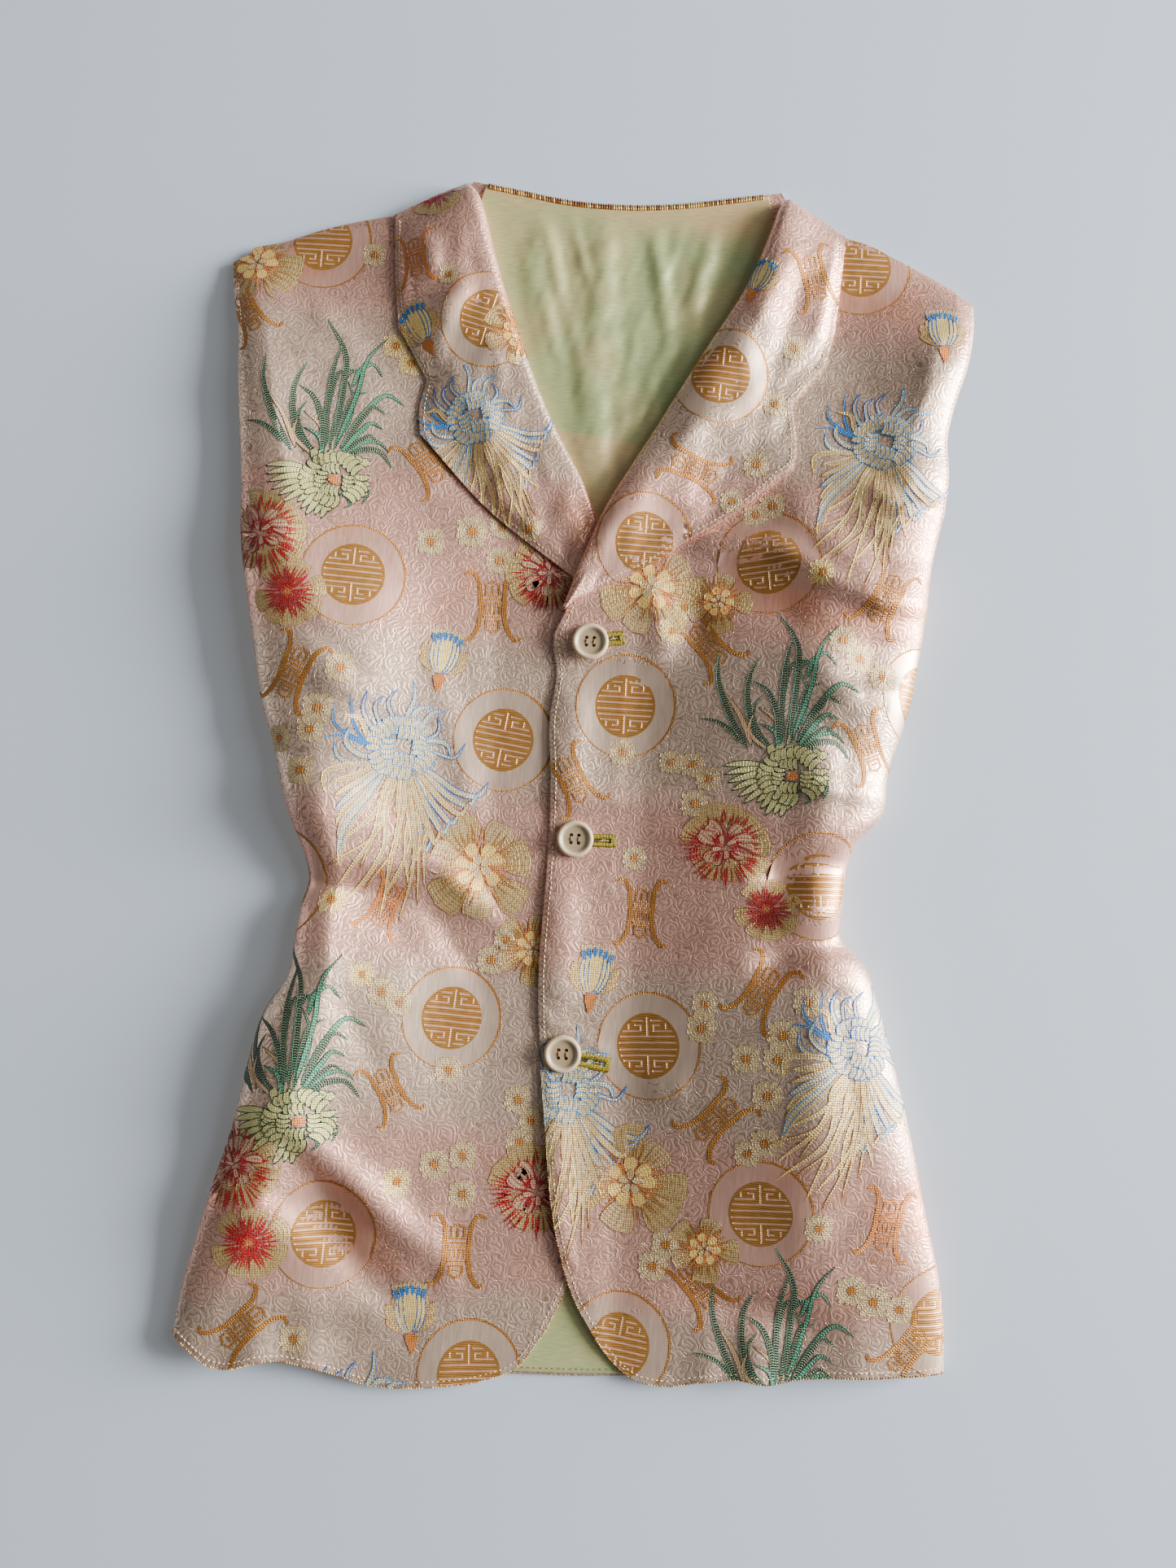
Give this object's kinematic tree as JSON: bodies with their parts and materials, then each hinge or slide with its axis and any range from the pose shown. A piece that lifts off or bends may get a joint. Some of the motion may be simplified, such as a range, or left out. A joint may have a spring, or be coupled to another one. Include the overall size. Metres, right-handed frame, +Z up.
{
  "type": "waistcoat",
  "caption": "Sleeveless women's waistcoat of figured brocade with notched lapels, a nipped waist, rounded front corners and a buttoned front, laid out flat.",
  "frame": {"origin": "middle of the laid garment's outline, on the surface it lies on", "axes": "+X to the right as seen from above with the neck at the top, +Y towards the neck, +Z up out of the front"},
  "size_m": [0.3974, 0.6302, 0.025],
  "materials": {
    "brocade_pink": "satin brocade",
    "lapel_brocade": "satin brocade",
    "silk_lining": "thin plain silk",
    "button_horn": "semi-matte, pale horn colour"
  },
  "bodies": {
    "root": {"back": "brocade_pink", "back_lining": "silk_lining", "front_left": "brocade_pink", "front_right": "brocade_pink", "lapel_left": "lapel_brocade", "lapel_right": "lapel_brocade", "button_top": "button_horn", "button_middle": "button_horn", "button_bottom": "button_horn"}
  },
  "joints": []
}
